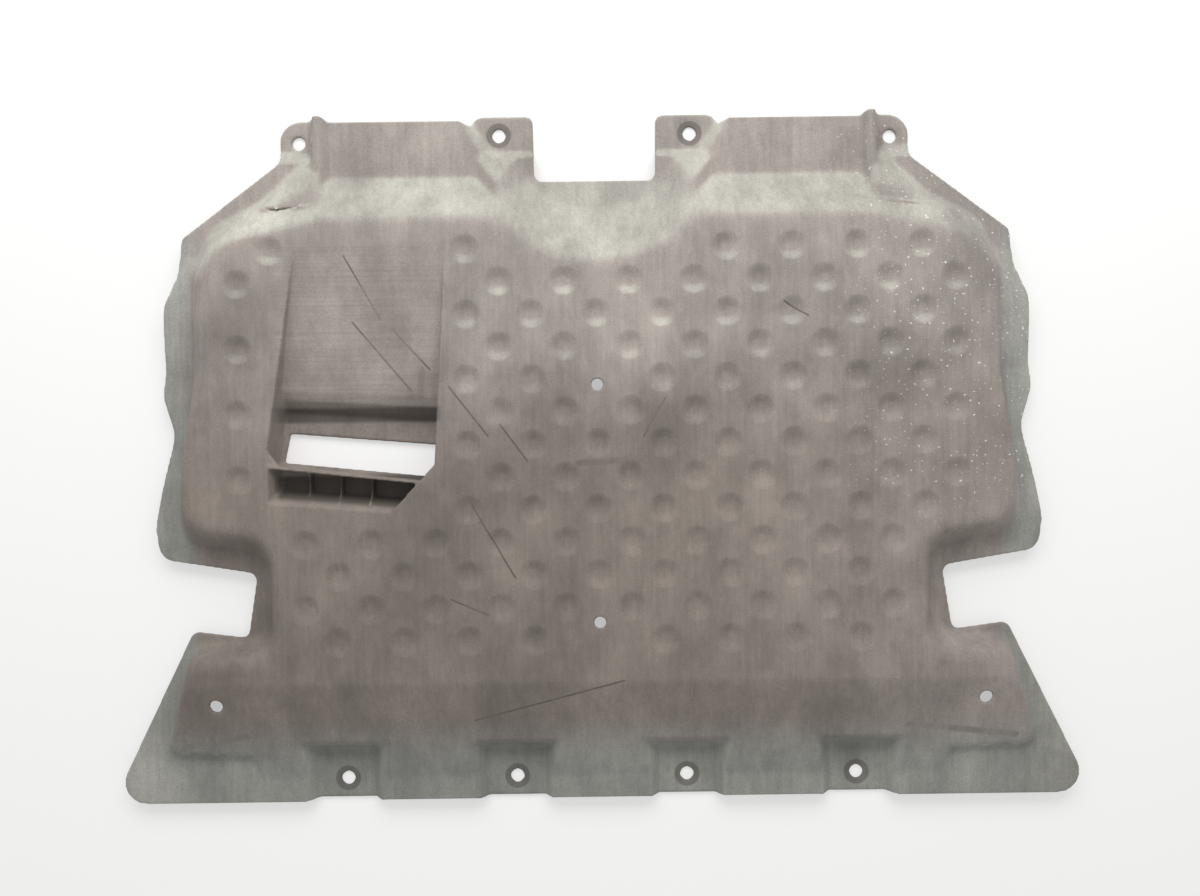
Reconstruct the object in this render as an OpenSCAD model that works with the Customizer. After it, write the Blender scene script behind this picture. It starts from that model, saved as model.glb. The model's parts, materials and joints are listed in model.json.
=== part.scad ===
// Under engine cover: one pressed plastic sheet, lying road face up on its screw pads.
// +Z is the road side, +Y the front of the car, and the origin is the middle of the footprint.

/* [Overall] */
// Width across the rear wings
width = 793; // [786:1:806]
// Length from the rear edge to the edge of the front tabs
length = 570; // [567:1:576]
// Thickness of the sheet
sheet_t = 3; // [2:0.5:4]

/* [Heights] */
// Step from the screw pads up to the flange
flange_rise = 8; // [6:0.5:10]
// Height of the flat panel above the screw pads
panel_rise = 30; // [27:0.5:32]
// Angle at which the rear strip falls away from the panel
rear_slope = 15; // [12:0.5:18]
// Distance from the middle back to the crease where the rear strip starts
crease_back = 183; // [175:1:190]

/* [Screw holes] */
// Diameter of the eight screw holes in the pads
screw_d = 10.6; // [8:0.2:12]
// Diameter of the washer seat round a tab's or rear pad's hole
seat_d = 21; // [16:0.5:24]
// Depth of the washer seat
seat_depth = 0.8; // [0.4:0.1:1.2]
// Diameter of the two plain holes in the wings
wing_hole_d = 10; // [8:0.2:12]
// Diameter of the two drain holes in the panel
drain_d = 9.2; // [6:0.2:12]
// Distance between the two front corner holes
ear_span = 496; // [492:1:500]
// Distance between the two front tab holes
tab_span = 160; // [156:1:164]
// Distance between the two wing holes
wing_span = 626; // [610:1:640]
// Distance between neighbouring holes of the rear row
rear_pitch = 142; // [136:1:146]

/* [Front edge] */
// Width of the notch between the front tabs
front_notch_w = 100; // [94:1:106]
// Depth of the notch between the front tabs
front_notch_d = 57; // [53:1:59]
// Radius of the half-moon ledge behind the notch
ledge_r = 68; // [64:1:72]
// Radius of the dished ramp where it reaches the panel
dish_r = 116; // [108:1:122]

/* [Side notches] */
// Distance from the middle to the inner edge of a side notch
side_notch_x = 284.5; // [282:0.5:288]
// Distance between the front and rear edges of a side notch
side_notch_w = 53; // [46:1:56]

/* [Dimples] */
// Diameter of a dimple
dimple_d = 24; // [18:1:28]
// Depth of a dimple
dimple_depth = 2; // [1:0.1:3]
// Distance between neighbouring dimples of a row
dimple_pitch = 52.8; // [50:0.2:58]

/* [Vent] */
// Depth of the vent's floor below the panel
vent_depth = 29; // [24:0.5:29]
// Depth of the ribbed trough behind the lip bar
trough_depth = 19; // [15:0.5:22]
// Thickness of the lip bar
bar_t = 3; // [2:0.5:4]
// Number of ribs in the trough
rib_count = 3; // [2:1:5]
// Thickness of a rib
rib_t = 1.8; // [1:0.1:3]

/* [Hidden] */
$fn = 48;

// Levels of the road face, one level under the whole cover and one over it.
pad_z = sheet_t;
flange_z = pad_z + flange_rise;
panel_z = pad_z + panel_rise;
panel_lift = panel_z - flange_z;
below = -30;
above = panel_z + 5;

// The panel's rounded rim: how far it reaches over the wall, and how far down.
rim_w = 5;
rim_drop = 5;

// Places of the holes.
edge_y = length / 2;
ear_x = ear_span / 2;
ear_y = edge_y - 20.5;
tab_x = tab_span / 2;
tab_y = edge_y - 16;
wing_x = wing_span / 2;
wing_y = 85 - edge_y;
rear_x = [for (k = [-1.5:1:1.5]) k * rear_pitch];
rear_y = 17 - edge_y;
drain_y = [57.5, -135];

// The front edge: the line past which it is trimmed, the notch, the dish and the corner beads.
trim_y = edge_y + 15;
notch_y = edge_y - front_notch_d;
dish_y = edge_y - 12.6;
bead_x = ear_x - 19;
bead_r = 7.5;
bead_end = 214;
shoulder_back = 190;

// Side notches: their front and rear edges.
side_front = -95;
side_rear = side_front - side_notch_w;

// Low waves of the side flanges, each as crest y and radius.
wave_x = 325;
wave_w = 50;
wave_h = 5;
wave_crests = [[119, 260], [-36, 200]];

// Rear pads: half widths of a pad's floor and mouth, and how far they reach in from the hole.
pad_half = 23;
mouth_half = 36;
pad_reach = 27;
mouth_reach = 34;
mouth_rise = 9;
last_pad_x = 1.5 * rear_pitch;

// Dimples: rows counted back from the first, and the space kept free round them.
dimple_y = 89;
dimple_rows = [-3:9];
dimple_columns = [-6:6];
dimple_gap = 3;
dimple_floor_share = 0.44;
dimple_mouth_share = 0.56;
panel_half = 292;
waist_half = 240;
waist_y = -50;

// The vent's pit: its sides flare towards the rear, and its walls lean.
vent_front = 174;
vent_left = -243;
vent_right = -122;
left_flare = 0.15;
right_flare = 0.055;
wall_lean = 0.12;

// Stations down the vent's ramp, each as left y, right y and share of the full depth.
ramp_stations = [[vent_front, vent_front, 0], [94, 94, 0.33], [56, 50, 0.5], [49, 41, 0.6],
    [43, 34, 0.82], [39, 29, 1]];

// The lip bar's front face, the trough behind it and the ribs in the trough.
bar_left_y = -4.5;
bar_right_y = -20;
trough_left = vent_left - 24;
trough_right = vent_right - 8;
trough_left_y = -36;
trough_right_y = -47;
rib_x = -237;
rib_pitch = 25.5;
rib_scoop_r = 16;

// The vent's diagonal side wall: a point on it, its direction and its lean.
diagonal_at = [-133, -6];
diagonal_turn = -43;
diagonal_lean = 18;

// Front edges of the opening in the vent's floor.
outlet_left = [-257.5, 21];
outlet_right = [-120, 9];

// Corner points of the right half, front to rear, each as x, y and corner radius.
rim_half = [
    [222, 197, 45], [303, 180, 30], [322, 146, 30], [322, 70, 160], [334, -4, 120],
    [335, side_front + 41, 20], [side_notch_x - 23.5, side_front + 30, 28],
    [side_notch_x - 23.5, side_rear - 14, 24], [330, side_rear - 19, 16],
    [width / 2 - 46.5, 47 - edge_y, 6], [last_pad_x + 71, 45 - edge_y, 6],
    [last_pad_x + 63, 23 - edge_y, 4]
];
foot_half = [
    [243, 230, 30], [317, 192, 30], [335, 157, 30], [335, 70, 160], [344, -4, 120],
    [345, side_front + 25, 16], [side_notch_x - 10.5, side_front + 15, 17],
    [side_notch_x - 10.5, side_rear - 1, 17], [339, side_rear - 6, 16],
    [width / 2 - 37.5, 42 - edge_y, 6], [last_pad_x + 75, 39 - edge_y, 6],
    [last_pad_x + 67, 17 - edge_y, 4]
];
flange_half = [
    [front_notch_w / 2, notch_y, 7],
    [front_notch_w / 2 + 1.5, edge_y, 6],
    [tab_x + 19, edge_y, 9],
    [tab_x + 24, edge_y - 9, 1.5],
    [tab_x + 32, edge_y - 5.5, 5],
    [ear_x - 27, edge_y - 5.5, 5],
    [ear_x - 21, edge_y - 1.5, 5],
    [ear_x + 18, edge_y - 2, 18],
    [ear_x + 14, edge_y - 39, 6],
    [344, 184, 7],
    [346.5, 153, 20],
    [357.5, 127, 22],
    [357.5, 78, 60],
    [361, 53, 24],
    [351.5, 22, 22],
    [366.5, -56, 20],
    [364.5, side_front + 13, 13],
    [side_notch_x, side_front, 7],
    [side_notch_x + 8, side_rear, 6],
    [338, side_rear + 6, 8],
    [width / 2 + 11, -edge_y, 18],
    [last_pad_x + 33, -edge_y, 6],
    [last_pad_x + 27, 1.2 - edge_y, 6]
];

function unit(v) = v / norm(v);
function left_of(v) = [-v.y, v.x];
function xy(p) = [p.x, p.y];
function mirrored(half) = concat(half, [for (i = [len(half) - 1:-1:0])
    [-half[i].x, half[i].y, half[i].z]]);

// Direction of the edge that leaves corner i of a loop, and the angle by which the loop turns there.
function heading(loop, i) = let (n = len(loop)) unit(xy(loop[(i + 1) % n]) - xy(loop[i % n]));
function turn(loop, i) = let (n = len(loop), a = heading(loop, i + n - 1), b = heading(loop, i))
    atan2(a.x * b.y - a.y * b.x, a * b);
function mitre(loop, i) = let (n = len(loop), a = left_of(heading(loop, i + n - 1)),
    b = left_of(heading(loop, i))) (a + b) / (1 + a * b);

// A loop moved outward by d, with its corner radii to match.
function grown(loop, d) = [for (i = [0:len(loop) - 1])
    let (p = xy(loop[i]) + d * mitre(loop, i), r = loop[i].z - d * sign(turn(loop, i)))
    [p.x, p.y, max(r, 0.5)]];

// The points of a loop whose corners are arcs of steps pieces.
function rounded(loop, steps) = [for (i = [0:len(loop) - 1])
    let (n = len(loop), angle = turn(loop, i), side = -sign(angle), r = loop[i].z,
        centre = xy(loop[i]) - side * r * mitre(loop, i),
        start = left_of(heading(loop, i + n - 1)), from = atan2(start.y, start.x))
    for (k = [0:steps]) let (a = from + angle * k / steps) centre + side * r * [cos(a), sin(a)]];

// A closed solid through stacked loops of equal length that mirror each other about x = 0.
module stacked(loops, heights) {
    n = len(loops[0]);
    top = (len(loops) - 1) * n;
    sides = [for (k = [0:len(loops) - 2]) for (i = [0:n - 1])
        let (a = k * n + i, b = k * n + (i + 1) % n)
        for (t = [[a, b + n, a + n], [a, b, b + n]]) t];
    caps = [for (i = [0:n / 2 - 2]) let (j = n - 1 - i)
        for (t = [[i, i + 1, j - 1], [i, j - 1, j]]) for (lid = [0, 1])
        lid == 0 ? [t[0], t[2], t[1]] : [for (v = t) top + v]];
    polyhedron([for (k = [0:len(loops) - 1]) for (p = loops[k]) [p.x, p.y, heights[k]]],
        concat(sides, caps));
}

// A closed solid through sections of four corners each.
module lofted(sections) {
    last = 4 * (len(sections) - 1);
    polyhedron([for (s = sections) each s], [[0, 2, 1], [0, 3, 2],
        [last, last + 1, last + 2], [last, last + 2, last + 3],
        for (k = [0:4:last - 4]) for (i = [0:3]) let (a = k + i, b = k + (i + 1) % 4)
            for (t = [[a, b, b + 4], [a, b + 4, a + 4]]) t]);
}

// Four corners, moved outward by d and set at height z.
function at_height(corners, d, z) = [for (p = grown([for (c = corners) [c.x, c.y, 1]], d))
    [p.x, p.y, z]];

// A recess between a floor and a wider mouth, deepened and widened by inset.
module recess(floor_corners, floor_z, mouth_corners, mouth_z, inset) {
    d = 0.6 * inset;
    lofted([at_height(floor_corners, d, floor_z - inset),
        at_height(mouth_corners, d, mouth_z - inset), at_height(mouth_corners, d, above)]);
}

// A form that rises from the flange between a foot and a smaller top, drawn in by inset.
module rise(foot_corners, top_corners, top_z, inset) {
    d = -inset / 2;
    lofted([at_height(foot_corners, d, flange_z - inset - 4),
        at_height(foot_corners, d, flange_z - inset), at_height(top_corners, d, top_z - inset)]);
}

module both_sides() {
    children();
    mirror([1, 0, 0]) children();
}

// The raised panel with its side walls, front ramp and falling rear strip.
module panel_mass(inset) {
    function wall(half, d) = rounded(grown(mirrored(half), d - inset / 2), 5);
    difference() {
        stacked([wall(foot_half, 3), wall(foot_half, 3), wall(foot_half, -1),
            wall(rim_half, rim_w), wall(rim_half, 1), wall(rim_half, -rim_w)],
            [for (z = [flange_z - 4, flange_z, flange_z + 2,
                panel_z - rim_drop, panel_z - rim_drop * 0.3, panel_z]) z - inset]);
        translate([0, -crease_back, panel_z - inset]) rotate([rear_slope, 0, 0])
            translate([-width / 2, -length, 0]) cube([width, length, panel_z]);
    }
}

// The ramp's step forward behind the tabs.
module tab_shoulder(inset) {
    foot = tab_x + 19;
    foot_y = edge_y - 36;
    top = tab_x - 14;
    top_y = edge_y - 82;
    rise([[-foot, shoulder_back], [-foot, foot_y], [foot, foot_y], [foot, shoulder_back]],
        [[-top, shoulder_back], [-top, top_y], [top, top_y], [top, shoulder_back]], panel_z, inset);
}

// The tongue of the ramp that runs forward beside a corner bead.
module ear_tongue(inset) {
    rise([[bead_x - 7, 216], [bead_x - 1, 254], [bead_x + 7, 254], [bead_x + 55, 208]],
        [[bead_x - 7, 208], [bead_x - 3, 217], [bead_x + 5, 217], [bead_x + 33, 204]],
        flange_z + 14, inset);
}

// The dished cut that leaves the half-moon ledge.
module dish(inset) {
    flare = (dish_r - ledge_r) / panel_lift;
    high = panel_lift + 6;
    foot_r = ledge_r + inset / 4;
    translate([0, dish_y, flange_z - inset]) cylinder(h = high, r1 = foot_r, r2 = foot_r + flare * high);
}

// The low waves of the side flanges.
module flange_waves(inset) {
    for (wave = wave_crests)
        translate([wave_x, wave[0], flange_z + wave_h - wave[1]]) rotate([0, 90, 0])
            cylinder(h = wave_w, r = wave[1] - inset);
}

module corner_bead(inset) {
    translate([bead_x, trim_y, flange_z - 1]) rotate([90, 0, 0])
        cylinder(h = trim_y - bead_end, r = bead_r - inset);
}

module ear_recess(inset) {
    recess([[ear_x - 10, trim_y], [ear_x + 36, trim_y], [ear_x + 28, ear_y - 6.5],
            [ear_x - 8, ear_y - 9.5]], pad_z,
        [[ear_x - 15, trim_y], [ear_x + 44, trim_y], [ear_x + 36, ear_y - 18.5],
            [ear_x - 13, ear_y - 18.5]], flange_z, inset);
}

module tab_recess(inset) {
    inner = tab_x - 40;
    recess([[inner, trim_y], [tab_x + 34, trim_y], [tab_x + 3, tab_y - 15.5],
            [inner, tab_y - 15.5]], pad_z,
        [[inner, trim_y], [tab_x + 44, trim_y], [tab_x + 14, tab_y - 19], [inner, tab_y - 19]],
        flange_z, inset);
}

module rear_recess(inset) {
    end_y = -edge_y - 15;
    function pad(half, y) = [[-half, y], [half, y], [half, end_y], [-half, end_y]];
    recess(pad(pad_half, rear_y + pad_reach), pad_z,
        pad(mouth_half, rear_y + mouth_reach), flange_z + mouth_rise, inset);
}

// The vent's sides at a distance y from the middle.
function vent_left_at(y) = vent_left - (vent_front - y) * left_flare;
function vent_right_at(y) = vent_right - (vent_front - y) * right_flare;

// The vent's sloping ramp, its flat floor and the pocket in front of the lip bar.
module vent_pit(inset) {
    spread = 0.8 * inset;
    function section(left_y, right_y, share) = let (left = vent_left_at(left_y) - spread,
        right = vent_right_at(right_y) + spread, depth = share * vent_depth,
        lean = wall_lean * depth, z = panel_z - depth - inset)
        [[left, left_y, panel_z + 3], [right, right_y, panel_z + 3],
            [right - lean, right_y, z], [left + lean, left_y, z]];
    lofted([for (s = ramp_stations) section(s[0], s[1], s[2]),
        section(bar_left_y - spread, bar_right_y - spread, 1)]);
}

// The closed trough behind the lip bar.
module trough(inset) {
    function level(back, share) = at_height([[trough_left + back / 2, bar_left_y - bar_t],
        [trough_right, bar_right_y - bar_t], [trough_right, trough_right_y + back],
        [trough_left + back / 2, trough_left_y + back]],
        0.8 * inset, panel_z - share * trough_depth - (share > 0 ? inset : 0));
    lofted([level(11, 1), level(7, 0.4), level(0, 0), level(0, -0.2)]);
}

// What stays beyond the vent's diagonal side wall.
module diagonal_keep(inset) {
    translate([diagonal_at.x, diagonal_at.y, panel_z - inset]) rotate([0, 0, diagonal_turn])
        rotate([0, -diagonal_lean, 0]) translate([inset, -80, -60]) cube([60, 160, 70]);
}

module vent_cut(inset) {
    difference() {
        union() {
            vent_pit(inset);
            trough(inset);
        }
        diagonal_keep(inset);
    }
}

// The way out through the vent's floor.
module vent_outlet() {
    difference() {
        lofted([for (z = [-5, panel_z - vent_depth + 2]) at_height([outlet_left, outlet_right,
            [outlet_right.x, bar_right_y + 2], [outlet_left.x - 5, bar_left_y + 1.5]], 0, z)]);
        diagonal_keep(-sheet_t / 2);
    }
}

module trough_ribs() {
    for (k = [0:rib_count - 1])
        intersection() {
            trough(1);
            translate([rib_x + k * rib_pitch, 0, 0]) difference() {
                translate([0, trough_left_y - 6, 0]) cube([rib_t, 40, panel_z - 1]);
                translate([-1, -22, above]) rotate([0, 90, 0])
                    cylinder(h = rib_t + 2, r = rib_scoop_r);
            }
        }
}

// The small web in the corner between the vent's left wall and the lip bar.
module corner_web() {
    polyhedron([[-268.5, 9, panel_z - 1], [-268.5, -7, panel_z - 1], [-257, -7, panel_z - 2],
        [-267, -6, panel_z - vent_depth + 2]], [[0, 2, 1], [0, 1, 3], [1, 2, 3], [0, 3, 2]]);
}

// Whether a dimple has room on the panel, clear of the dish, the vent and the drains.
function on_panel(x, y) = abs(x) < (y > waist_y ? panel_half : waist_half);
function clear_of_dish(x, y) = norm([x, y - dish_y]) > dish_r + dimple_d / 2;
function clear_of_drains(x, y) = min([for (d = drain_y) norm([x, y - d])]) > dimple_d / 2 + dimple_gap;
function clear_of_vent(x, y) = let (room = dimple_d / 2 + dimple_gap)
    x < vent_left_at(y) - room || x > vent_right + room
    || y > vent_front || y < trough_right_y - room + 4;
function dimple_fits(x, y) = on_panel(x, y) && clear_of_dish(x, y) && clear_of_drains(x, y)
    && clear_of_vent(x, y);

// The staggered dimples, each a shallow cone with a flat floor.
module dimples(inset) {
    high = dimple_depth + 1;
    floor_r = dimple_d * dimple_floor_share / 2;
    flare = dimple_d * dimple_mouth_share / 2 / dimple_depth;
    for (j = dimple_rows) for (i = dimple_columns) {
        x = (i + (j % 2 == 0 ? 0.5 : 0)) * dimple_pitch;
        y = dimple_y - j * dimple_pitch / 2;
        if (dimple_fits(x, y)) translate([x, y, panel_z - dimple_depth - inset])
            cylinder(h = high, r1 = floor_r, r2 = floor_r + flare * high, $fn = 24);
    }
}

// Everything behind the sheet's road face, moved in by inset.
module cover_mass(inset) {
    difference() {
        union() {
            translate([-width / 2, -edge_y, below])
                cube([width, length, flange_z - inset - below]);
            difference() {
                union() {
                    panel_mass(inset);
                    tab_shoulder(inset);
                }
                dish(inset);
            }
            both_sides() {
                flange_waves(inset);
                corner_bead(inset);
                ear_tongue(inset);
            }
        }
        both_sides() {
            ear_recess(inset);
            tab_recess(inset);
        }
        for (x = rear_x) translate([x, 0, 0]) rear_recess(inset);
        vent_cut(inset);
        dimples(inset);
    }
}

module plain_hole(x, y, d) {
    translate([x, y, below]) cylinder(h = above - below, d = d);
}

// A screw hole with the shallow seat of its washer.
module seated_hole(x, y) {
    plain_hole(x, y, screw_d);
    translate([x, y, pad_z - seat_depth]) cylinder(h = flange_rise, d = seat_d);
}

module holes() {
    for (side = [-1, 1]) {
        plain_hole(side * ear_x, ear_y, screw_d);
        seated_hole(side * tab_x, tab_y);
        plain_hole(side * wing_x, wing_y, wing_hole_d);
    }
    for (x = rear_x) seated_hole(x, rear_y);
    for (y = drain_y) plain_hole(0, y, drain_d);
}

// The sheet itself: what lies between the road face and the same face moved in by its thickness.
module sheet() {
    difference() {
        intersection() {
            translate([0, 0, below]) linear_extrude(above - below)
                polygon(rounded(mirrored(flange_half), 6));
            cover_mass(0);
        }
        cover_mass(sheet_t);
        vent_outlet();
    }
}

module under_cover() {
    color("dimgray")
    difference() {
        union() {
            sheet();
            trough_ribs();
            corner_web();
        }
        holes();
    }
}

under_cover();
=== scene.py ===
import json
import math

import bmesh
import bpy
import numpy as np
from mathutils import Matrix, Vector
from mathutils.bvhtree import BVHTree


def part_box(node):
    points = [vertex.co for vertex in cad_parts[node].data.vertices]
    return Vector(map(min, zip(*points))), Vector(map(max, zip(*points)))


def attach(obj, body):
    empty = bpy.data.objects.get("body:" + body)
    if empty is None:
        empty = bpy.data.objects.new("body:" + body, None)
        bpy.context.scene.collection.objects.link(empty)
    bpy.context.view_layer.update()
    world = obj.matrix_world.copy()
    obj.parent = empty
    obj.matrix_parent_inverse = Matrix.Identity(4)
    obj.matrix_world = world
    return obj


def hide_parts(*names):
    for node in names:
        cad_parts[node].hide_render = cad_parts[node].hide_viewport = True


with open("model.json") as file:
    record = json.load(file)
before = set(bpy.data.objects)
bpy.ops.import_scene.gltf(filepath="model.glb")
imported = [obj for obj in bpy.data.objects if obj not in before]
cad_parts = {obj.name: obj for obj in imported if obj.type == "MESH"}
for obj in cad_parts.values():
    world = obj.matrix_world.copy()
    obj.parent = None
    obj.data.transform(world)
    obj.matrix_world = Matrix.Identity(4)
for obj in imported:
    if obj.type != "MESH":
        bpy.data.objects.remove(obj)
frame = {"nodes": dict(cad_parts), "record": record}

bl_info = {
    "name": "Under Engine Cover",
    "version": (1, 0, 0),
    "blender": (4, 5, 0),
    "location": "View3D > Sidebar > Cover",
    "description": "Presses and finishes an under engine cover round its construction model",
    "category": "Add Mesh",
}

NODE = "under_cover"
BODY = "root"
FINISH = "worn_plastic"
PIECE = "pressed_cover"

LOW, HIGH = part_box(NODE)
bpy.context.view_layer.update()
PANEL_Z = HIGH.z
MM = 0.001
MOST_MOVE = 2 * MM


# Sizes and colours that a user would change.

class CoverSizes(bpy.types.PropertyGroup):
    """Sizes of the pressed sheet's finish, in metres."""

    cell: bpy.props.FloatProperty(
        name="Mesh cell", description="Size of the cells that the sheet's skin is made of",
        default=1.1 * MM, min=0.8 * MM, max=4 * MM, subtype="DISTANCE")
    edge_radius: bpy.props.FloatProperty(
        name="Bend radius", description="Softness of the pressed bends",
        default=1.6 * MM, min=0.5 * MM, max=4 * MM, subtype="DISTANCE")
    ramp_radius: bpy.props.FloatProperty(
        name="Ramp radius", description="Softness of the bend where the front ramp meets the panel",
        default=6 * MM, min=2 * MM, max=12 * MM, subtype="DISTANCE")
    triangles: bpy.props.IntProperty(
        name="Triangles", description="Most triangles in the finished sheet",
        default=190000, min=20000, max=199000)
    dimple_pitch: bpy.props.FloatProperty(
        name="Dimple pitch", description="Distance between neighbouring dimples of a row",
        default=52.8 * MM, min=0.03, max=0.1, subtype="DISTANCE")
    dimple_middle: bpy.props.FloatProperty(
        name="Middle row", description="How far in front of the middle the seventh row lies",
        default=9.8 * MM, min=-0.1, max=0.1, subtype="DISTANCE")
    dimple_width: bpy.props.FloatProperty(
        name="Dimple width", description="Width of a dimple across its bowl",
        default=25 * MM, min=0.01, max=0.04, subtype="DISTANCE")
    dimple_depth: bpy.props.FloatProperty(
        name="Dimple depth", description="Depth of a dimple's bowl",
        default=1.3 * MM, min=0, max=0.004, subtype="DISTANCE")


class CoverColours(bpy.types.PropertyGroup):
    """Colours of the sheet, of what lies on it and of its painted shade."""

    plastic: bpy.props.FloatVectorProperty(
        name="Plastic", description="Colour of the bare sheet",
        default=(0.196, 0.168, 0.146), min=0, max=1, size=3, subtype="COLOR")
    pale: bpy.props.FloatVectorProperty(
        name="Pale plastic", description="Colour of the sheet where it is scuffed",
        default=(0.284, 0.252, 0.229), min=0, max=1, size=3, subtype="COLOR")
    # Also painted light: the forward slopes that face the window are painted with this paler colour.
    dust_and_light: bpy.props.FloatVectorProperty(
        name="Dust_and_light", description="Colour of the dust on the slopes that face forward",
        default=(0.375, 0.365, 0.322), min=0, max=1, size=3, subtype="COLOR")
    wing: bpy.props.FloatVectorProperty(
        name="Wing film", description="Greenish film on the rear wings and the side flanges",
        default=(0.248, 0.255, 0.235), min=0, max=1, size=3, subtype="COLOR")
    # Also painted shade: the vent's step and ribbed pocket, the bolt seats and the lines along the rear wings are
    # painted with this dark colour.
    shade_and_dirt: bpy.props.FloatVectorProperty(
        name="Shade_and_dirt", description="Colour of the dirt in corners, smears and scratches",
        default=(0.055, 0.046, 0.038), min=0, max=1, size=3, subtype="COLOR")
    floor: bpy.props.FloatVectorProperty(
        name="Floor", description="Colour of the floor",
        default=(0.88, 0.875, 0.86), min=0, max=1, size=3, subtype="COLOR")


class CoverStage(bpy.types.PropertyGroup):
    """Camera and light."""

    eye: bpy.props.FloatVectorProperty(
        name="Camera", description="Where the camera stands",
        default=(0.0016, 0.006, 0.7932), size=3, subtype="XYZ", unit="LENGTH")
    roll: bpy.props.FloatProperty(
        name="Roll", description="How far the camera is turned about its own axis",
        default=math.radians(-0.75), subtype="ANGLE")
    lens: bpy.props.FloatProperty(
        name="Lens", description="Focal length on a 36 mm sensor", default=28.26, min=10, max=200)
    sky: bpy.props.FloatProperty(
        name="Sky", description="Strength of the even light from all round", default=0.55, min=0, max=2)
    window: bpy.props.FloatProperty(
        name="Window", description="Power of the soft light beyond the front edge",
        default=16, min=0, max=200, unit="POWER")


# Node trees written as Python expressions.

class Field:
    """A socket on its way through a node tree: arithmetic on it adds Math nodes."""

    def __init__(self, nodes, socket):
        self.nodes = nodes
        self.socket = socket

    def __add__(self, other):
        return self.nodes.math("ADD", self, other)

    def __sub__(self, other):
        return self.nodes.math("SUBTRACT", self, other)

    def __mul__(self, other):
        return self.nodes.math("MULTIPLY", self, other)

    def __truediv__(self, other):
        return self.nodes.math("DIVIDE", self, other)

    def __rsub__(self, other):
        return self.nodes.math("SUBTRACT", other, self)

    def __rtruediv__(self, other):
        return self.nodes.math("DIVIDE", other, self)

    def __neg__(self):
        return self.nodes.math("SUBTRACT", 0, self)

    def __abs__(self):
        return self.nodes.math("ABSOLUTE", self)

    __radd__ = __add__
    __rmul__ = __mul__

    def output(self, name):
        """Another output of the node that this value comes from."""
        return Field(self.nodes, self.socket.node.outputs[name])


class Nodes:
    """A shader or geometry tree with one method that adds any node."""

    def __init__(self, tree):
        self.tree = tree

    def add(self, kind, settings=(), sockets=(), output=0):
        node = self.tree.nodes.new(kind)
        for name, value in dict(settings).items():
            if name == "stops":
                self._set_stops(node.color_ramp, value)
            else:
                setattr(node, name, value)
        for name, value in dict(sockets).items():
            if isinstance(value, Field):
                self.tree.links.new(value.socket, node.inputs[name])
            else:
                node.inputs[name].default_value = value
        return Field(self, node.outputs[output]) if len(node.outputs) else node

    def _set_stops(self, ramp, stops):
        while len(ramp.elements) < len(stops):
            ramp.elements.new(0.5)
        for element, (position, colour) in zip(ramp.elements, stops):
            element.position = position
            element.color = colour

    def math(self, operation, *values):
        return self.add("ShaderNodeMath", {"operation": operation}, enumerate(values))

    def vector_math(self, operation, *values, output=0):
        return self.add("ShaderNodeVectorMath", {"operation": operation}, enumerate(values), output)

    def smooth(self, value, low, high, low_to=0.0, high_to=1.0):
        """Eases from low_to to high_to while value goes from low to high."""
        return self.add("ShaderNodeMapRange", {"interpolation_type": "SMOOTHSTEP"},
                        {"Value": value, "From Min": low, "From Max": high,
                         "To Min": low_to, "To Max": high_to})

    def mix(self, share, first, second, blend="MIX"):
        """A colour that goes from first to second."""
        return self.add("ShaderNodeMix", {"data_type": "RGBA", "blend_type": blend},
                        {0: share, 6: first, 7: second}, output=2)

    def noise(self, vector, scale, detail=2.0, roughness=0.5, distortion=0.0):
        return self.add("ShaderNodeTexNoise", {},
                        {"Vector": vector, "Scale": scale, "Detail": detail,
                         "Roughness": roughness, "Distortion": distortion})

    def stretched(self, vector, scale, turn=0.0):
        return self.add("ShaderNodeMapping", {},
                        {"Vector": vector, "Scale": scale, "Rotation": (0, 0, turn)})


def rgba(colour):
    return (*colour, 1.0)


# The sheet's skin.

def mesh_arrays(mesh):
    """A mesh's points and edges as arrays."""
    points = np.empty(len(mesh.vertices) * 3, np.float32)
    mesh.vertices.foreach_get("co", points)
    edges = np.empty(len(mesh.edges) * 2, np.int32)
    mesh.edges.foreach_get("vertices", edges)
    return points.reshape(-1, 3).astype(np.float64), edges.reshape(-1, 2)


def set_points(mesh, points):
    mesh.vertices.foreach_set("co", points.astype(np.float32).ravel())
    mesh.update()


def new_piece(name, mesh):
    piece = bpy.data.objects.new(name, mesh)
    bpy.context.scene.collection.objects.link(piece)
    return piece


def settled(piece):
    """Turns a piece's modifiers into plain mesh and removes them."""
    bpy.context.view_layer.update()
    evaluated = piece.evaluated_get(bpy.context.evaluated_depsgraph_get())
    mesh = bpy.data.meshes.new_from_object(evaluated)
    old = piece.data
    piece.modifiers.clear()
    piece.data = mesh
    bpy.data.meshes.remove(old)
    return piece


def merged_copy(node, name):
    """A copy of a construction node whose loose triangles are joined at their corners."""
    shape = bmesh.new()
    shape.from_mesh(frame["nodes"][node].data)
    bmesh.ops.remove_doubles(shape, verts=shape.verts, dist=1e-6)
    mesh = bpy.data.meshes.new(name)
    shape.to_mesh(mesh)
    shape.free()
    return new_piece(name, mesh)


def blurred(values, radius):
    """A grid blurred with a Gaussian of the given radius, in cells."""
    reach = max(1, math.ceil(3 * radius))
    weights = np.exp(-0.5 * (np.arange(-reach, reach + 1) / radius) ** 2)
    weights /= weights.sum()
    for axis in (0, 1):
        padded = np.pad(values, [(reach, reach) if k == axis else (0, 0) for k in (0, 1)])
        count = values.shape[axis]
        values = sum(w * np.take(padded, np.arange(k, k + count), axis)
                     for k, w in enumerate(weights))
    return values


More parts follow.
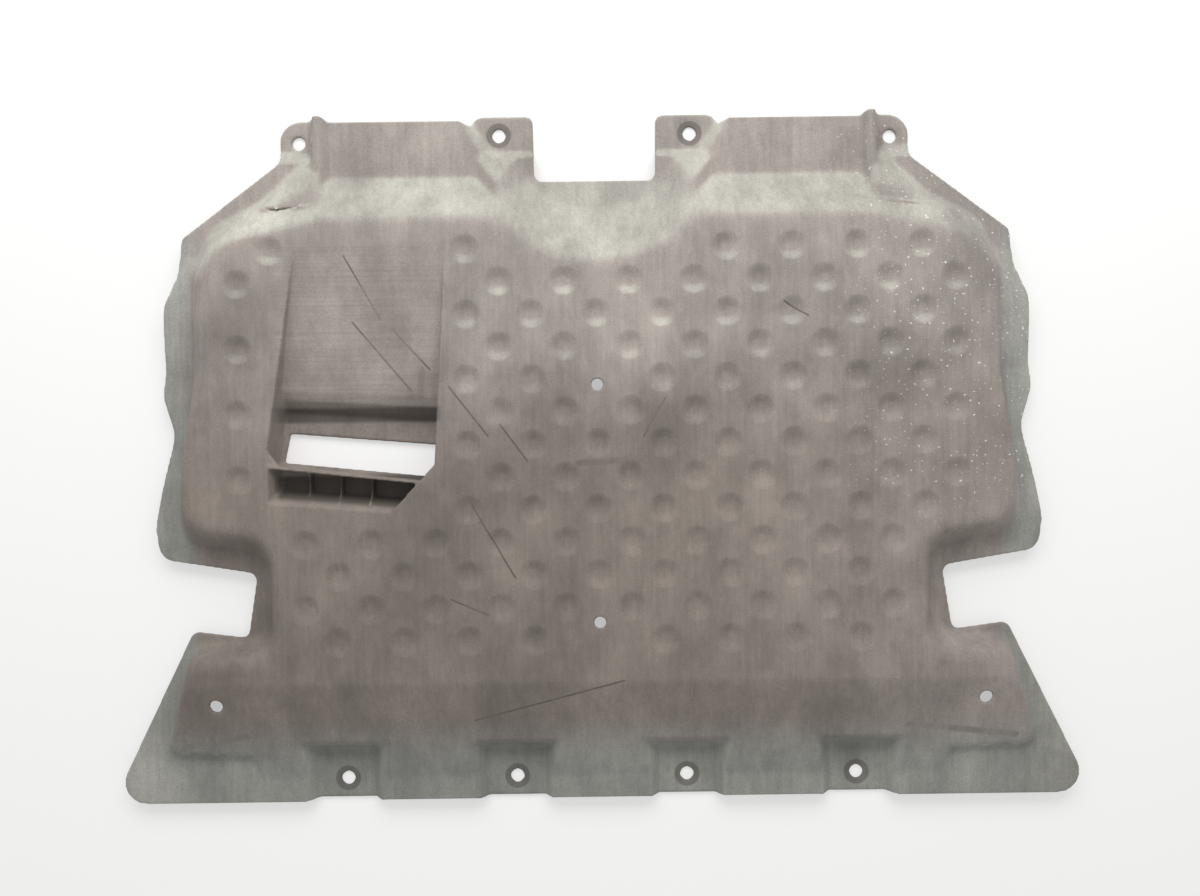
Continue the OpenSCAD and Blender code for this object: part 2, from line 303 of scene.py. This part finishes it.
class Relief:
    """Heights of the sheet's road face and back on a grid, raw and softened."""

    def __init__(self, node, cell, margin=12):
        self.cell = cell
        self.margin = margin
        self.start = np.array([LOW.x, LOW.y]) - margin * cell
        span = np.array([HIGH.x - LOW.x, HIGH.y - LOW.y])
        self.shape = tuple(np.ceil(span / cell).astype(int) + 2 * margin)
        shape = bmesh.new()
        shape.from_mesh(frame["nodes"][node].data)
        tree = BVHTree.FromBMesh(shape)
        shape.free()
        face = self._cast(tree, HIGH.z + 0.01, Vector((0, 0, -1)))
        back = self._cast(tree, LOW.z - 0.01, Vector((0, 0, 1)))
        self.inside = np.isfinite(face)
        self.face = self.carried_out(face)
        self.back = self.carried_out(back)

    def _cast(self, tree, start_z, direction):
        heights = np.full(self.shape, np.nan)
        for i in range(self.margin, self.shape[0] - self.margin):
            x = self.start[0] + i * self.cell
            for j in range(self.margin, self.shape[1] - self.margin):
                y = self.start[1] + j * self.cell
                hit = tree.ray_cast(Vector((x, y, start_z)), direction)[0]
                if hit:
                    heights[i, j] = hit.z
        return heights

    def carried_out(self, heights):
        """Heights that go on for a few millimetres past the sheet's edges."""
        return np.where(self.inside, heights, self.softened(heights, 3 * MM))

    def centres(self):
        """The x and y of each cell."""
        x = self.start[0] + np.arange(self.shape[0]) * self.cell
        y = self.start[1] + np.arange(self.shape[1]) * self.cell
        return np.meshgrid(x, y, indexing="ij")

    def softened(self, heights, radius):
        """Heights blurred over the sheet alone, so that its edges stay."""
        filled = np.where(self.inside, heights, 0)
        share = blurred(self.inside.astype(float), radius / self.cell)
        return blurred(filled, radius / self.cell) / np.maximum(share, 1e-6)

    def at(self, values, points):
        """Values of a grid between its cells."""
        place = (points[:, :2] - self.start) / self.cell
        low = np.clip(np.floor(place).astype(int), 0, np.array(self.shape) - 2)
        part = np.clip(place - low, 0, 1)
        i, j = low.T
        u, v = part.T
        return ((1 - u) * (1 - v) * values[i, j] + u * (1 - v) * values[i + 1, j]
                + (1 - u) * v * values[i, j + 1] + u * v * values[i + 1, j + 1])


def eased(value, low, high):
    """0 below low, 1 above high and a smooth step between them."""
    t = np.clip((value - low) / (high - low), 0, 1)
    return t * t * (3 - 2 * t)


def relaxed(points, edges, passes, share):
    """Points moved towards the middle of their neighbours, share of the way in each pass."""
    count = len(points)
    ends = np.concatenate([edges, edges[:, ::-1]])
    degree = np.maximum(np.bincount(ends[:, 0], minlength=count), 1)[:, None]
    for _ in range(passes):
        total = np.stack([np.bincount(ends[:, 0], points[ends[:, 1], k], count) for k in range(3)], 1)
        points = points + share * (total / degree - points)
    return points


def dimple_centres(sizes, tree_heights):
    """Places of the lattice where the construction model has a dimple."""
    found = []
    half = sizes.dimple_pitch / 2
    for row in range(-6, 7):
        y = sizes.dimple_middle + row * half
        shift = 0.0 if row % 2 == 0 else 0.5
        for column in range(-7, 7):
            x = (column + shift) * sizes.dimple_pitch
            height = tree_heights(x, y)
            if height is not None and abs(height - (PANEL_Z - 2 * MM)) < 0.2 * MM:
                found.append((x, y))
    return np.array(found)


class COVER_OT_sheet(bpy.types.Operator):
    """Makes the pressed sheet from the construction model, with softly rounded bends"""

    bl_idname = "cover.sheet"
    bl_label = "Pressed Sheet"

    def execute(self, context):
        sizes = context.scene.cover_sizes
        cell = sizes.cell * 1
        relief = Relief(NODE, 1 * MM)
        piece = merged_copy(NODE, PIECE)
        remesh = piece.modifiers.new("cells", "REMESH")
        remesh.mode = "VOXEL"
        remesh.voxel_size = cell
        settled(piece)
        points, edges = mesh_arrays(piece.data)
        points[:, 2] += self.softening(relief, points, sizes)
        points = relaxed(points, edges, passes=4, share=0.5)
        set_points(piece.data, points)
        return {"FINISHED"}

    def softening(self, relief, points, sizes):
        """How far each point rises or sinks when the bends are rounded."""
        x, y = relief.centres()
        face = relief.face.copy()
        back = relief.back.copy()
        for cx, cy in self.dimples(relief, sizes):
            near = np.hypot(x - cx, y - cy) < 12.6 * MM
            face[near] = PANEL_Z
            back[near] = PANEL_Z - 3 * MM
        vent = eased(x, -0.290, -0.276) * (1 - eased(x, -0.118, -0.104))
        vent *= eased(y, -0.066, -0.054) * (1 - eased(y, 0.160, 0.190))
        ramp = eased(y, 0.110, 0.135) * eased(face, 0.016, 0.026)
        moves = []
        for heights in (face, back):
            crisp = relief.softened(heights, sizes.edge_radius)
            broad = relief.softened(heights, sizes.ramp_radius)
            broad_share = relief.softened(ramp, 6 * MM)
            move = (crisp + (broad - crisp) * broad_share - heights) * (1 - vent)
            moves.append(np.clip(move, -MOST_MOVE, MOST_MOVE))
        level = (points[:, 2] - relief.at(back, points)) / np.maximum(
            relief.at(face, points) - relief.at(back, points), MM)
        level = np.clip(level, 0, 1)
        return level * relief.at(moves[0], points) + (1 - level) * relief.at(moves[1], points)

    def dimples(self, relief, sizes):
        def height(x, y):
            i, j = np.round((np.array([x, y]) - relief.start) / relief.cell).astype(int)
            inside = 0 <= i < relief.shape[0] and 0 <= j < relief.shape[1]
            return relief.face[i, j] if inside else None
        return dimple_centres(sizes, height)


class COVER_OT_dimples(bpy.types.Operator):
    """Presses the staggered dimples into the sheet and thins its mesh out"""

    bl_idname = "cover.dimples"
    bl_label = "Dimples"

    def execute(self, context):
        piece = bpy.data.objects.get(PIECE)
        if piece is None:
            raise RuntimeError("make the pressed sheet before its dimples")
        sizes = context.scene.cover_sizes
        tree = dimple_tree()
        press = piece.modifiers.new("dimples", "NODES")
        press.node_group = tree
        values = {
            "Frame": frame["nodes"][NODE],
            "Material": bpy.data.materials[FINISH],
            "Pitch": sizes.dimple_pitch,
            "Middle Row": sizes.dimple_middle,
            "Width": sizes.dimple_width,
            "Depth": sizes.dimple_depth,
            "Panel Height": PANEL_Z,
        }
        for item in tree.interface.items_tree:
            if item.in_out == "INPUT" and item.name in values:
                press[item.identifier] = values[item.name]
        thin = piece.modifiers.new("thin", "DECIMATE")
        thin.ratio = min(1.0, sizes.triangles / (2 * len(piece.data.polygons)))
        settled(piece)
        set_points(piece.data, np.clip(mesh_arrays(piece.data)[0], tuple(LOW), tuple(HIGH)))
        piece.data.shade_smooth()
        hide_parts(NODE)
        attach(piece, BODY)
        return {"FINISHED"}


def dimple_tree():
    """The tree that makes the dimple lattice and presses a bowl at each of its points."""
    tree = bpy.data.node_groups.new("pressed_dimples", "GeometryNodeTree")
    face = tree.interface
    face.new_socket("Geometry", in_out="INPUT", socket_type="NodeSocketGeometry")
    face.new_socket("Geometry", in_out="OUTPUT", socket_type="NodeSocketGeometry")
    face.new_socket("Frame", in_out="INPUT", socket_type="NodeSocketObject")
    face.new_socket("Material", in_out="INPUT", socket_type="NodeSocketMaterial")
    for name in ("Pitch", "Middle Row", "Width", "Depth", "Panel Height"):
        face.new_socket(name, in_out="INPUT", socket_type="NodeSocketFloat")
    nodes = Nodes(tree)
    given = nodes.add("NodeGroupInput")
    pitch = given.output("Pitch")
    middle = given.output("Middle Row")
    depth = given.output("Depth")

    grid = nodes.add("GeometryNodeMeshGrid", {}, {
        "Size X": pitch * 14, "Size Y": pitch * 6, "Vertices X": 15, "Vertices Y": 13})
    place = nodes.add("GeometryNodeInputPosition")
    row = nodes.math("ROUND", nodes.add("ShaderNodeSeparateXYZ", {}, {0: place}, output="Y") / pitch * 2)
    odd = nodes.math("FLOORED_MODULO", row, 2)
    shift = nodes.add("ShaderNodeCombineXYZ", {}, {"X": odd * pitch * 0.5, "Y": middle})
    lattice = nodes.add("GeometryNodeSetPosition", {}, {"Geometry": grid, "Offset": shift})
    solid = nodes.add("GeometryNodeObjectInfo", {}, {"Object": given.output("Frame")}, output="Geometry")
    above = nodes.vector_math("ADD", nodes.add("GeometryNodeInputPosition"), (0, 0, 0.1))
    hit = nodes.add("GeometryNodeRaycast", {}, {
        "Target Geometry": solid, "Source Position": above, "Ray Direction": (0, 0, -1),
        "Ray Length": 0.2}, output="Hit Position")
    hit_z = nodes.add("ShaderNodeSeparateXYZ", {}, {0: hit}, output="Z")
    off = abs(given.output("Panel Height") - 2 * MM - hit_z)
    empty = nodes.math("GREATER_THAN", off, 0.2 * MM)
    lattice = nodes.add("GeometryNodeDeleteGeometry", {}, {"Geometry": lattice, "Selection": empty})
    centres = nodes.add("GeometryNodeMeshToPoints", {}, {"Mesh": lattice})

    here = nodes.add("ShaderNodeSeparateXYZ", {}, {0: nodes.add("GeometryNodeInputPosition")})
    flat = nodes.add("ShaderNodeCombineXYZ", {}, {"X": here, "Y": here.output("Y")})
    gap = nodes.add("GeometryNodeProximity", {"target_element": "POINTS"},
                    {"Geometry": centres, "Sample Position": flat}, output="Distance")
    away = nodes.math("MINIMUM", gap / given.output("Width") * 2, 1)
    bowl = nodes.math("COSINE", away * math.pi) * 0.5 + 0.5
    fade = nodes.smooth(here.output("Y"), -0.16, 0.10, 0.35, 1.0)
    drop = nodes.add("ShaderNodeCombineXYZ", {}, {"Z": -(bowl * depth * fade)})
    pressed = nodes.add("GeometryNodeSetPosition", {},
                        {"Geometry": given.output("Geometry"), "Offset": drop})
    whole = nodes.add("GeometryNodeRealizeInstances", {}, {"Geometry": pressed})
    painted = nodes.add("GeometryNodeSetMaterial", {},
                        {"Geometry": whole, "Material": given.output("Material")})
    nodes.add("NodeGroupOutput", {}, {"Geometry": painted})
    return tree


# The sheet's finish.

# Places on the sheet, in metres, as the photograph shows them.
SCRATCHES = (
    ((-0.204, 0.164), (-0.176, 0.113)), ((-0.167, 0.105), (-0.137, 0.072)),
    ((-0.199, 0.111), (-0.153, 0.055)), ((-0.120, 0.057), (-0.089, 0.017)),
    ((-0.079, 0.026), (-0.057, -0.004)), ((0.055, 0.046), (0.037, 0.015)),
    ((-0.102, -0.040), (-0.068, -0.098)), ((-0.120, -0.115), (-0.090, -0.128)),
    ((-0.103, -0.215), (0.019, -0.182)), ((0.152, 0.123), (0.171, 0.111)),
)
# Dark smears; the two rear lines are painted shade along the lower bead of the rear wings.
SMEARS_AND_SHADE_LINES = (
    ((-0.016, -0.006), (0.037, -0.003)), ((-0.144, 0.072), (-0.145, 0.051)),
    ((-0.343, -0.236), (-0.274, -0.224)), ((0.252, -0.223), (0.340, -0.233)),
)
VENT_X = (-0.262, -0.128)
VENT_RAMP_Y = (0.045, 0.175)
VENT_DROP_Y = (0.030, 0.042)
TROUGH_Y = (-0.042, -0.014)
DISH = (0.0, 0.205)
SEAT_RADIUS = 0.0105


def between(nodes, value, low, high, soft):
    """1 from low to high and 0 outside, with soft ends."""
    return nodes.smooth(value, low - soft, low + soft) * nodes.smooth(value, high - soft, high + soft, 1, 0)


def reach(nodes, x, y, start, end):
    """Distance from a line drawn between two places."""
    run_x, run_y = end[0] - start[0], end[1] - start[1]
    away_x, away_y = x - start[0], y - start[1]
    along = (away_x * run_x + away_y * run_y) / (run_x ** 2 + run_y ** 2)
    along = nodes.math("MINIMUM", nodes.math("MAXIMUM", along, 0), 1)
    return nodes.math("SQRT", nodes.math("POWER", away_x - along * run_x, 2)
                      + nodes.math("POWER", away_y - along * run_y, 2))


def marks(nodes, x, y, lines, width):
    """1 on a set of drawn lines, fading over their width."""
    total = None
    for start, end in lines:
        mark = nodes.smooth(reach(nodes, x, y, start, end), width * 0.3, width, 1, 0)
        total = mark if total is None else nodes.math("MAXIMUM", total, mark)
    return total


def hole_places(mount):
    """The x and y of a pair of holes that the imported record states."""
    half = mount["dims"]["spacing_x_mm"] * MM / 2
    middle_x, middle_y = mount["pos_m"][:2]
    return (middle_x - half, middle_y), (middle_x + half, middle_y)


def seat_shade_and_washer_marks(nodes, x, y):
    """1 on the dark rings round the bolted holes of the tabs and the rear pads: washer marks together with painted
    shade in the recessed seats.
    """
    total = None
    for name in ("tab_holes", "rear_inner_holes", "rear_outer_holes"):
        mount = next(m for m in frame["record"]["mounts"] if m["name"] == name)
        for place in hole_places(mount):
            seat = nodes.smooth(reach(nodes, x, y, place, (place[0] + 1e-5, place[1])),
                                SEAT_RADIUS - 0.0008, SEAT_RADIUS + 0.0006, 1, 0)
            total = seat if total is None else nodes.math("MAXIMUM", total, seat)
    return total


def cover_plastic(colours):
    """Dusty, scuffed and scratched fibre-filled plastic, with painted light on the forward slopes and painted
    shade on the vent's step, in its ribbed pocket, round the bolt seats and along the rear wings' lower bead.
    """
    material = bpy.data.materials.new(FINISH)
    material.use_nodes = True
    material.node_tree.nodes.clear()
    nodes = Nodes(material.node_tree)
    place = nodes.add("ShaderNodeTexCoord", output="Object")
    x = nodes.add("ShaderNodeSeparateXYZ", {}, {0: place}, output="X")
    y = x.output("Y")
    z = x.output("Z")
    facing = nodes.add("ShaderNodeSeparateXYZ", {}, {0: nodes.add("ShaderNodeTexCoord", output="Normal")})
    forward = facing.output("Y")
    upward = facing.output("Z")
    cloud = nodes.noise(place, 9, 6, 0.65)
    stain = nodes.noise(nodes.stretched(place, (1, 0.45, 1), 0.3), 26, 5, 0.7)
    grain = nodes.noise(place, 850, 2, 0.6)
    on_road_side = nodes.smooth(upward, -0.3, 0.2)

    front = nodes.smooth(y + (cloud - 0.5) * 0.12, -0.03, 0.13)
    right = nodes.smooth(x + (cloud - 0.5) * 0.16, 0.08, 0.30) * 0.55
    colour = nodes.mix(nodes.math("MAXIMUM", front, right) * on_road_side,
                       rgba(colours.plastic), rgba(colours.pale))
    low = nodes.smooth(z, 0.014, 0.026, 1, 0)
    outer = nodes.math("MAXIMUM", nodes.smooth(y, -0.215, -0.185, 1, 0), nodes.smooth(abs(x), 0.325, 0.345))
    film = low * outer * on_road_side
    colour = nodes.mix(film * 0.8, colour, rgba(colours.wing))
    tip = film * nodes.smooth(abs(x) + (cloud - 0.5) * 0.05, 0.335, 0.385)
    colour = nodes.mix(tip * 0.35, colour, rgba(colours.dust_and_light))
    left = nodes.smooth(x, -0.285, -0.255, 1, 0) * nodes.smooth(z, 0.024, 0.029)
    colour = nodes.mix(left * 0.30, colour, rgba(colours.plastic))

    # Partly dusting, partly painted light: slopes facing forward, towards the window, are painted paler.
    forward_dust_and_light = nodes.smooth(forward, 0.10, 0.42) * nodes.smooth(y, 0.02, 0.14) * on_road_side
    off_x = (x - DISH[0]) / 0.085
    off_y = (y - DISH[1]) / 0.034
    dish = nodes.smooth(off_x * off_x + off_y * off_y, 0.55, 1.25, 1, 0) * on_road_side
    dust_and_painted_light = nodes.math("MAXIMUM", forward_dust_and_light * nodes.smooth(cloud, 0.25, 0.7, 0.55, 1.0), dish * 0.95)
    colour = nodes.mix(dust_and_painted_light, colour, rgba(colours.dust_and_light))

    fibre = nodes.noise(nodes.stretched(place, (300, 14, 300)), 1, 3, 0.6)
    lines = nodes.noise(nodes.stretched(place, (9, 520, 9)), 1, 3, 0.6)
    vent = between(nodes, x, *VENT_X, 0.004)
    ramp = vent * between(nodes, y, *VENT_RAMP_Y, 0.004)
    tone = nodes.smooth(cloud, 0.25, 0.75, 0.80, 1.20) * nodes.smooth(stain, 0.25, 0.75, 0.80, 1.20)
    tone = tone * nodes.smooth(grain, 0.2, 0.8, 0.86, 1.14)
    tone = tone * (1 + (fibre - 0.5) * 0.34 * (1 - ramp)) * (1 + (lines - 0.5) * 0.40 * ramp)
    colour = nodes.mix(1, colour, nodes.add("ShaderNodeCombineColor", {}, {0: tone, 1: tone, 2: tone}), "MULTIPLY")

    # Painted shade: the vent's steep step faces away from the window and the ribbed pocket lies under the lip bar,
    # so both are painted dark.
    drop = vent * between(nodes, y, *VENT_DROP_Y, 0.002)
    trough_shade = vent * between(nodes, y, *TROUGH_Y, 0.002) * nodes.smooth(z, 0.026, 0.031, 1, 0)
    shade_and_grime = nodes.math("MAXIMUM", drop * 0.7, trough_shade * 0.95)
    # Smears, with painted shade lines along the rear wings' lower bead.
    shade_and_grime = nodes.math("MAXIMUM", shade_and_grime, marks(nodes, x, y, SMEARS_AND_SHADE_LINES, 0.004) * nodes.smooth(stain, 0.4, 0.6) * 0.4)
    # Dark rings round the bolted holes: washer marks and painted shade in the recessed seats.
    shade_and_grime = nodes.math("MAXIMUM", shade_and_grime, seat_shade_and_washer_marks(nodes, x, y) * 0.55)
    colour = nodes.mix(shade_and_grime * on_road_side, colour, rgba(colours.shade_and_dirt))
    scratch = marks(nodes, x, y, SCRATCHES, 0.0011) * on_road_side
    colour = nodes.mix(scratch * nodes.smooth(stain, 0.35, 0.6, 0.2, 0.7), colour, rgba(colours.shade_and_dirt))
    speck = nodes.smooth(nodes.noise(place, 430, 0), 0.77, 0.80)
    speckled = nodes.smooth(x, 0.17, 0.26) * nodes.smooth(y, -0.08, 0.0) * on_road_side
    colour = nodes.mix(speck * speckled * 0.7, colour, (0.8, 0.78, 0.74, 1))

    rough = nodes.smooth(cloud, 0.2, 0.8, 0.60, 0.78) + dust_and_painted_light * 0.12
    height = grain * 0.5 + fibre * 0.5 - scratch * 0.8
    bump = nodes.add("ShaderNodeBump", {}, {"Height": height, "Strength": 0.25, "Distance": 0.0004})
    surface = nodes.add("ShaderNodeBsdfPrincipled", {}, {
        "Base Color": colour, "Roughness": rough, "Normal": bump, "Specular IOR Level": 0.35}, output="BSDF")
    nodes.add("ShaderNodeOutputMaterial", {}, {"Surface": surface})
    return material


class COVER_OT_plastic(bpy.types.Operator):
    """Makes the sheet's scratched plastic with its dusting, painted light and painted shade"""

    bl_idname = "cover.plastic"
    bl_label = "Worn Plastic"

    def execute(self, context):
        cover_plastic(context.scene.cover_colours)
        return {"FINISHED"}


# The stage.

def floor_material(colours):
    """A pale floor that looks nearly white to the camera and keeps the cover's shadow."""
    material = bpy.data.materials.new("floor")
    material.use_nodes = True
    material.node_tree.nodes.clear()
    nodes = Nodes(material.node_tree)
    matte = nodes.add("ShaderNodeBsdfDiffuse", {}, {"Color": rgba(colours.floor)})
    white = nodes.add("ShaderNodeEmission", {}, {"Color": (1, 1, 1, 1), "Strength": 1.0})
    seen = nodes.add("ShaderNodeLightPath", output="Is Camera Ray")
    shown = nodes.add("ShaderNodeMixShader", {}, {0: seen * 0.5, 1: matte, 2: white})
    nodes.add("ShaderNodeOutputMaterial", {}, {"Surface": shown})
    return material


def sky(strength):
    """An even white surround that looks white to the camera and in reflections."""
    world = bpy.data.worlds.new("studio")
    world.use_nodes = True
    world.node_tree.nodes.clear()
    nodes = Nodes(world.node_tree)
    path = nodes.add("ShaderNodeLightPath", output="Is Camera Ray")
    shows = nodes.math("MAXIMUM", path, path.output("Is Glossy Ray"))
    shows = nodes.math("MAXIMUM", shows, path.output("Is Transmission Ray"))
    dim = nodes.add("ShaderNodeBackground", {}, {"Color": (1, 1, 1, 1), "Strength": strength})
    white = nodes.add("ShaderNodeBackground", {}, {"Color": (1, 1, 1, 1), "Strength": 1.0})
    both = nodes.add("ShaderNodeMixShader", {}, {0: shows, 1: dim, 2: white})
    nodes.add("ShaderNodeOutputWorld", {}, {"Surface": both})
    return world


class COVER_OT_stage(bpy.types.Operator):
    """Makes the pale floor, the soft light and the camera above the cover"""

    bl_idname = "cover.stage"
    bl_label = "Stage"

    def execute(self, context):
        stage = context.scene.cover_stage
        half = 4.0
        mesh = bpy.data.meshes.new("floor")
        mesh.from_pydata([(-half, -half, 0), (half, -half, 0), (half, half, 0), (-half, half, 0)],
                         [], [(0, 1, 2, 3)])
        mesh.materials.append(floor_material(context.scene.cover_colours))
        new_piece("floor", mesh)
        context.scene.world = sky(stage.sky)
        self.window(stage)
        self.camera(context, stage)
        context.scene.view_settings.view_transform = "Standard"
        return {"FINISHED"}

    def window(self, stage):
        light = bpy.data.lights.new("window", "AREA")
        light.shape = "RECTANGLE"
        light.size = 1.6
        light.size_y = 0.7
        light.energy = stage.window
        lamp = bpy.data.objects.new("window", light)
        lamp.location = (0, 0.95, 0.75)
        lamp.rotation_euler = (Vector(lamp.location) - Vector((0, 0.05, 0))).to_track_quat("Z", "Y").to_euler()
        bpy.context.scene.collection.objects.link(lamp)

    def camera(self, context, stage):
        lens = bpy.data.cameras.new("camera")
        lens.sensor_width = 36
        lens.lens = stage.lens
        eye = bpy.data.objects.new("camera", lens)
        eye.location = stage.eye
        eye.rotation_euler = (0, 0, stage.roll)
        context.scene.collection.objects.link(eye)
        context.scene.camera = eye


class COVER_PT_panel(bpy.types.Panel):
    """The cover's steps and settings in the sidebar"""

    bl_label = "Under Engine Cover"
    bl_idname = "COVER_PT_panel"
    bl_space_type = "VIEW_3D"
    bl_region_type = "UI"
    bl_category = "Cover"

    def draw(self, context):
        for step in STEPS:
            self.layout.operator(step.bl_idname)
        for group in (context.scene.cover_sizes, context.scene.cover_colours, context.scene.cover_stage):
            box = self.layout.box()
            for name in group.__annotations__:
                box.prop(group, name)


GROUPS = {"cover_sizes": CoverSizes, "cover_colours": CoverColours, "cover_stage": CoverStage}
STEPS = (COVER_OT_stage, COVER_OT_plastic, COVER_OT_sheet, COVER_OT_dimples)


def register():
    for cls in (*GROUPS.values(), *STEPS, COVER_PT_panel):
        bpy.utils.register_class(cls)
    for name, group in GROUPS.items():
        setattr(bpy.types.Scene, name, bpy.props.PointerProperty(type=group))


def unregister():
    for name in GROUPS:
        delattr(bpy.types.Scene, name)
    for cls in reversed((*GROUPS.values(), *STEPS, COVER_PT_panel)):
        bpy.utils.unregister_class(cls)


def main():
    register()
    bpy.ops.cover.stage()
    bpy.ops.cover.plastic()
    bpy.ops.cover.sheet()
    bpy.ops.cover.dimples()


if __name__ == "__main__":
    main()
